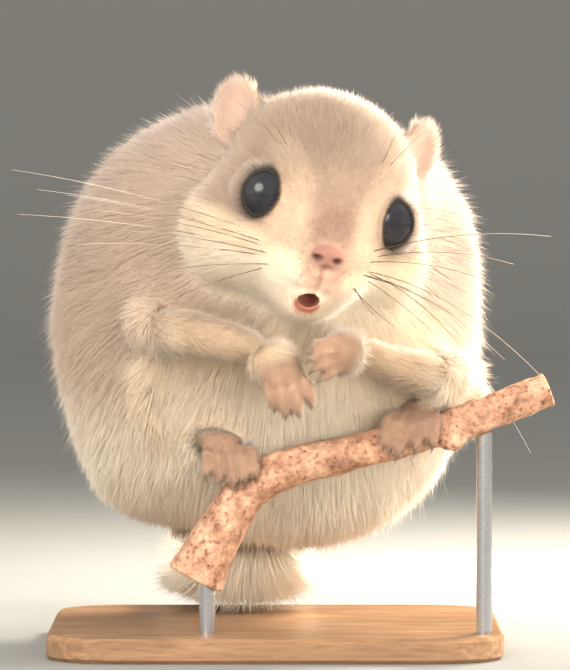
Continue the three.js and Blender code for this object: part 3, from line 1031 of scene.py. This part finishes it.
whiskerOptions = {
    "root": 0.1, "tip": 0.03,  # radius, mm
    "sunk": 0.8, "ahead": 1.5,  # how far the root goes in, and the bow's middle comes forward, mm
    "browShare": 0.7,  # the brow's whiskers are this much thinner
    # root on the pad as (left, forward, up) in the head, then the tip and how far its middle bows up, mm
    "right": [
        ((-5.0, 16.2, -6.8), (-53, -22, 98), 4), ((-5.8, 15.4, -7.6), (-48, -20, 94), 3.5),
        ((-4.6, 17.0, -7.8), (-42, -26, 93), 3), ((-5.4, 16.4, -8.6), (-36, -28, 90), 3),
        ((-6.2, 15.2, -8.6), (-52, -18, 89), 3), ((-4.8, 17.2, -9.2), (-31, -32, 86), 2.5),
        ((-5.8, 16.0, -9.6), (-40, -24, 83), 3), ((-6.6, 14.4, -9.4), (-27, -24, 80), 2.5),
        ((-5.2, 16.6, -10.4), (-22, -36, 78), 2), ((-6.4, 15.2, -10.4), (-19, -32, 73), 1.5),
    ],
    "left": [
        ((5.0, 16.2, -6.8), (55.5, -24, 84.6), 5), ((5.8, 15.4, -7.6), (48, -22, 79), 5),
        ((4.6, 17.0, -7.8), (42, -30, 76), 4), ((5.4, 16.4, -8.6), (53, -26, 57), 9),
        ((6.2, 15.2, -8.6), (51.5, -24, 41), 15), ((4.8, 17.2, -9.2), (37, -36, 68), 4),
        ((5.8, 16.0, -9.6), (46, -30, 60), 7), ((6.6, 14.4, -9.4), (31, -30, 66), 2),
        ((5.2, 16.6, -10.4), (24, -44, 67), -1.5), ((6.4, 15.2, -10.4), (19.6, -46, 69.5), -1.5),
    ],
    "brow": [
        ((-9.5, 4.4, 8.4), (-8, -44, 112), 1.5), ((-8.8, 4.8, 8.2), (-3, -48, 111), 1.5),
        ((9.5, 4.4, 8.4), (30, -44, 106), 1.5), ((8.8, 4.8, 8.2), (25, -50, 108), 1.5),
    ],
}


def whiskerMaterial():
    mat, tree, shader = nodeMaterial("whiskerHair")
    coords = objectCoords(tree)
    away = tree.nodes.new("ShaderNodeVectorMath")
    away.operation = "DISTANCE"
    tree.links.new(coords, away.inputs[0])
    away.inputs[1].default_value = tuple(fromHead(0, 14, -8))
    reach = tree.nodes.new("ShaderNodeMapRange")
    reach.inputs["From Min"].default_value = 8 * mm
    reach.inputs["From Max"].default_value = 46 * mm
    tree.links.new(away.outputs["Value"], reach.inputs["Value"])
    tint = rampNode(tree, reach.outputs["Result"], [
        (0.0, (0.05, 0.035, 0.03)), (0.5, (0.13, 0.09, 0.07)), (1.0, (0.75, 0.62, 0.5))])
    tree.links.new(tint.outputs["Color"], shader.inputs["Base Color"])
    shader.inputs["Roughness"].default_value = 0.35
    return mat


def buildWhiskers():
    tubes = []
    for group in ("right", "left", "brow"):
        for root, tip, bow in whiskerOptions[group]:
            a = fromHead(*root) - headForward * whiskerOptions["sunk"] * mm
            c = np.array(tip) * mm
            ahead = headForward * whiskerOptions["ahead"] * mm
            b = (a + c) / 2 + np.array([0, 0, 1]) * bow * mm + ahead
            t = np.linspace(0, 1, 15)[:, None]
            path = (1 - t) ** 2 * a + 2 * t * (1 - t) * b + t ** 2 * c
            thick, thin = whiskerOptions["root"], whiskerOptions["tip"]
            radii = (thick + (thin - thick) * t[:, 0]) * mm
            if group == "brow":
                radii = radii * whiskerOptions["browShare"]
            tubes.append(tube(path, radii))
    obj = tubesObject("whiskers", tubes)
    obj.data.materials.append(whiskerMaterial())
    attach(obj, "root")


clawOptions = {
    "radius": 0.3, "long": 0.9, "root": 0.5, "hook": 0.5,  # mm
    # where each nail starts and the way it points, mm
    "hand_right": [(-0.2, -51.4, 51.4), (2.1, -52.2, 50.1), (4.6, -51.8, 50.5), (7.1, -50.4, 52.1)],
    "hand_left": [(7.1, -54.2, 62.9), (6.6, -55.4, 60.9), (7.2, -55, 58.7), (8.6, -53.4, 56.9)],
    # for each foot: place across and ahead, how far the toes lean, and the height of the nails
    "feet": [(-9.5, -30, 0.12, 34.4), (28.6, -29.6, -0.34, 40.4)],
    "toes": [-4.9, -2.5, 0, 2.5, 4.9],
}


def clawMaterial():
    stops = [(0.3, linear(96, 66, 52)), (0.7, linear(150, 112, 88))]
    return speckledMaterial("claw", 1500, 2, stops, {"Roughness": 0.3})


def clawTube(start, way):
    way = unit(np.array(way, float))
    start = np.array(start) * mm - way * clawOptions["root"] * mm
    hook = np.array([0, 0.35, -0.8])
    t = np.linspace(0, 1, 7)[:, None]
    path = start + way * t * (clawOptions["long"] + clawOptions["root"]) * mm
    path = path + hook * t ** 2 * clawOptions["hook"] * mm
    radii = clawOptions["radius"] * mm * (1 - 0.92 * t[:, 0] ** 1.4)
    return tube(path, radii, 6)


def buildClaws():
    tubes = []
    for p in clawOptions["hand_right"]:
        tubes.append(clawTube(p, (0.1, 0.2, -1)))
    for p in clawOptions["hand_left"]:
        tubes.append(clawTube(p, (-0.85, 0.25, -0.5)))
    for x0, y0, lean, drop in clawOptions["feet"]:
        for offset in clawOptions["toes"]:
            out = 1 - abs(offset) / 5 * 0.55
            tip = (x0 + offset + lean * 13 * out, y0 - 2.9, drop + (1 - out) * 4)
            tubes.append(clawTube(tip, (lean, -0.25, -1)))
    obj = tubesObject("claws", tubes)
    obj.data.materials.append(clawMaterial())
    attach(obj, "root")


# Perch and stand

perchOptions = {
    "voxel": 0.5 * mm,
    "lump": 0.3, "grain": 0.175,  # height of the bark's broad and fine relief, mm
    "relax": 12,
    # middle of each cut and the way it faces
    "ends": [((-16, -28.6, 16.0), (-4, 0.1, -8.0)), ((55, -27, 54.0), (15, 0.6, 5.8))],
}


def barkMaterial():
    mat, tree, shader = nodeMaterial("youngBark")
    coords = objectCoords(tree)
    patches = [(0.32, linear(134, 98, 78)), (0.5, linear(192, 146, 116)), (0.68, linear(224, 186, 154))]
    flecks = [(0.36, (0.35, 0.26, 0.22)), (0.46, (0.85, 0.82, 0.8)), (0.7, (1.1, 1.08, 1.05))]
    _, base = speckle(tree, coords, 240, 6, patches, 0.68)
    grain, fleck = speckle(tree, coords, 900, 5, flecks, 0.65)
    colour = mixColour(tree, "MULTIPLY", 0.85, base, fleck)
    cells = tree.nodes.new("ShaderNodeTexVoronoi")
    cells.inputs["Scale"].default_value = 330
    tree.links.new(coords, cells.inputs["Vector"])
    spots = rampNode(tree, cells.outputs["Distance"], [(0.06, (0.8, 0.8, 0.8)), (0.13, (0, 0, 0))])
    colour = mixColour(tree, "MIX", spots.outputs["Color"], colour, linear(84, 52, 42))
    tree.links.new(colour, shader.inputs["Base Color"])
    bumpNode(tree, shader, grain, 0.8, 0.35 * mm)
    shader.inputs["Roughness"].default_value = 0.82
    return mat


def cutWoodMaterial():
    mat, tree, shader = nodeMaterial("cutWood")
    coords = objectCoords(tree)
    rings = [(0.3, linear(188, 150, 108)), (0.7, linear(226, 196, 152))]
    grain, tint = speckle(tree, coords, 700, 4, rings, 0.6)
    tree.links.new(tint, shader.inputs["Base Color"])
    bumpNode(tree, shader, grain, 0.3, 0.1 * mm)
    shader.inputs["Roughness"].default_value = 0.7
    return mat


def buildPerch():
    bm = bmesh.new()
    bm.from_mesh(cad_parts["perch"].data)
    bmesh.ops.remove_doubles(bm, verts=bm.verts, dist=1e-6)
    mesh = bpy.data.meshes.new("branch")
    bm.to_mesh(mesh)
    bm.free()
    obj = linked("branch", mesh)
    remesh(obj, perchOptions["voxel"])
    mesh = obj.data
    points, edges = vertexArray(mesh), edgeArray(mesh)
    ends = [(np.array(at) * mm, unit(np.array(way))) for at, way in perchOptions["ends"]]
    nearEnd = np.zeros(len(points))
    for p, n in ends:
        nearEnd = np.maximum(nearEnd, smooth(-1.2 * mm, -0.5 * mm, (points - p) @ n))
    points = relax(points, edges, perchOptions["relax"], 0.5, 1 - nearEnd)
    setVertices(mesh, points)
    lumps = softNoise(points, 5 * mm, 41) * perchOptions["lump"]
    lumps += softNoise(points, 1.3 * mm, 42) * perchOptions["grain"]
    points = points + vertexArray(mesh, "normal") * ((lumps - 0.15) * (1 - nearEnd) * mm)[:, None]
    setVertices(mesh, points)
    mesh.materials.append(barkMaterial())
    mesh.materials.append(cutWoodMaterial())
    for poly in mesh.polygons:
        c, n = np.array(poly.center), np.array(poly.normal)
        for p, way in ends:
            if (c - p) @ way > -0.6 * mm and n @ way > 0.7:
                poly.material_index = 1
    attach(obj, "root")
    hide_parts("perch")


def standMaterials():
    mat, tree, shader = nodeMaterial("standWood")
    coords = objectCoords(tree)
    stretch = tree.nodes.new("ShaderNodeMapping")
    stretch.inputs["Scale"].default_value = (0.12, 1, 1)
    tree.links.new(coords, stretch.inputs["Vector"])
    along = stretch.outputs["Vector"]
    browns = [(0.3, linear(120, 88, 62)), (0.55, linear(150, 114, 82)), (0.75, linear(172, 134, 98))]
    _, tint = speckle(tree, along, 260, 6, browns, 0.6, 1.2)
    fine, pores = speckle(tree, along, 1500, 3, [(0.35, (0.8, 0.78, 0.76)), (0.5, (1, 1, 1))])
    colour = mixColour(tree, "MULTIPLY", 1.0, tint, pores)
    tree.links.new(colour, shader.inputs["Base Color"])
    bumpNode(tree, shader, fine, 0.15, 0.05 * mm)
    shader.inputs["Roughness"].default_value = 0.38
    greys = [(0.3, (0.5, 0.5, 0.51)), (0.7, (0.62, 0.62, 0.63))]
    steel = speckledMaterial("rodSteel", 1800, 2, greys, {"Metallic": 1.0, "Roughness": 0.32})
    return mat, steel


def finishStand():
    wood, steel = standMaterials()
    for name, mat in (("stand_base", wood), ("stand_rod_right", steel), ("stand_rod_left", steel)):
        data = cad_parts[name].data
        data.materials.clear()
        data.materials.append(mat)


# Camera, floor and light

cameraOptions = {"target": (2, -30, 65), "distance": 1117, "height": 2.0, "lens": 300}
lightOptions = {
    # place and aim in mm, size in mm, power in watts, colour
    "front": ((-250, -540, 400), (0, 0, 62), 420, 3.6, (1.0, 0.96, 0.92)),
    "left": ((-460, -330, 50), (-10, 0, 50), 380, 1.9, (1.0, 0.95, 0.89)),
    "fill": ((230, -560, 20), (0, 0, 36), 440, 5.0, (1.0, 0.95, 0.89)),
    "side": ((330, 40, 150), (12, 0, 62), 170, 2.1, (1.0, 0.94, 0.86)),
    "rim": ((200, 270, 250), (5, 0, 75), 130, 5.0, (1.0, 0.93, 0.82)),
    "under": ((150, 210, 22), (5, 0, 30), 110, 1.5, (1.0, 0.95, 0.87)),
    "top": ((-60, 150, 330), (0, 0, 75), 200, 0.8, (1.0, 0.96, 0.9)),
}
floorOptions = {
    "tone": (0.24, 0.235, 0.215),
    "front": -2.6, "sweep": 1.5, "bend": 0.7, "top": 4.0, "side": 3.0,  # metres
    "skyTone": (1.0, 0.985, 0.96), "sky": 0.92,
}


def buildSet():
    cam = bpy.data.cameras.new("camera")
    cam.lens = cameraOptions["lens"]
    cam.sensor_width = 36
    cam.clip_start, cam.clip_end = 0.01, 20
    obj = linked("camera", cam)
    target = Vector(cameraOptions["target"]) * mm
    height = math.radians(cameraOptions["height"])
    back = Vector((0, -math.cos(height), math.sin(height)))
    obj.location = target + back * cameraOptions["distance"] * mm
    obj.rotation_euler = (-back).to_track_quat("-Z", "Y").to_euler()
    scene.camera = obj

    # floor that sweeps up behind
    start, bend, side = floorOptions["sweep"], floorOptions["bend"], floorOptions["side"]
    sweep = [(floorOptions["front"], 0.0), (start, 0.0)]
    for a in np.radians(range(6, 91, 6)):
        sweep.append((start + bend * math.sin(a), bend - bend * math.cos(a)))
    sweep.append((start + bend, floorOptions["top"]))
    verts = [(x, y, z) for y, z in sweep for x in (-side, side)]
    faces = [(2 * i, 2 * i + 1, 2 * i + 3, 2 * i + 2) for i in range(len(sweep) - 1)]
    floor = meshObject("floor", verts, faces)
    shadeSmooth(floor.data)
    mat, _, shader = nodeMaterial("paleFloor")
    shader.inputs["Base Color"].default_value = (*floorOptions["tone"], 1)
    shader.inputs["Roughness"].default_value = 0.9
    floor.data.materials.append(mat)

    for name, (place, aim, size, power, colour) in lightOptions.items():
        light = bpy.data.lights.new(name, "AREA")
        light.shape = "DISK"
        light.size = size * mm
        light.energy = power
        light.color = colour
        lamp = linked(name, light)
        lamp.location = Vector(place) * mm
        lamp.visible_camera = False
        lamp.visible_glossy = name == "front"
        lamp.rotation_euler = (Vector(aim) * mm - lamp.location).to_track_quat("-Z", "Y").to_euler()
    world = bpy.data.worlds.new("studio")
    scene.world = world
    world.use_nodes = True
    background = world.node_tree.nodes["Background"]
    background.inputs["Color"].default_value = (*floorOptions["skyTone"], 1)
    background.inputs["Strength"].default_value = floorOptions["sky"]
    scene.view_settings.view_transform = "Standard"


def unwrapSkin(obj):
    bpy.context.view_layer.objects.active = obj
    obj.select_set(True)
    obj.data.uv_layers.new(name="OFBake")
    bpy.ops.object.mode_set(mode="EDIT")
    bpy.ops.mesh.select_all(action="SELECT")
    bpy.ops.uv.smart_project(angle_limit=math.radians(66), island_margin=0.002)
    bpy.ops.object.mode_set(mode="OBJECT")


def main():
    buildSet()
    report("camera, floor and lights")
    skin, points, edges, share, ofKind = buildSkin()
    points = shapeFace(points, edges)
    setVertices(skin.data, points)
    shadeSmooth(skin.data)
    normals = vertexArray(skin.data, "normal")
    colours = markings(points, normals, ofKind)
    colourLayer(skin.data, "coatTone", colours)
    skin.data.materials.append(skinMaterial())
    unwrapSkin(skin)
    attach(skin, "root")
    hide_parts(*[n for n in fleshNodes if not n.startswith("eye")])
    report(f"skin, {len(skin.data.polygons)} faces")
    softNormals = unit(relax(normals, edges, 6))
    lie = coatLie(points, softNormals, edges, share)
    buildCoat(skin, points, softNormals, lie, ofKind, colours)
    buildEyes()
    buildWhiskers()
    buildClaws()
    buildPerch()
    finishStand()
    report("eyes, whiskers, claws, branch and stand")
    bpy.context.view_layer.update()


main()
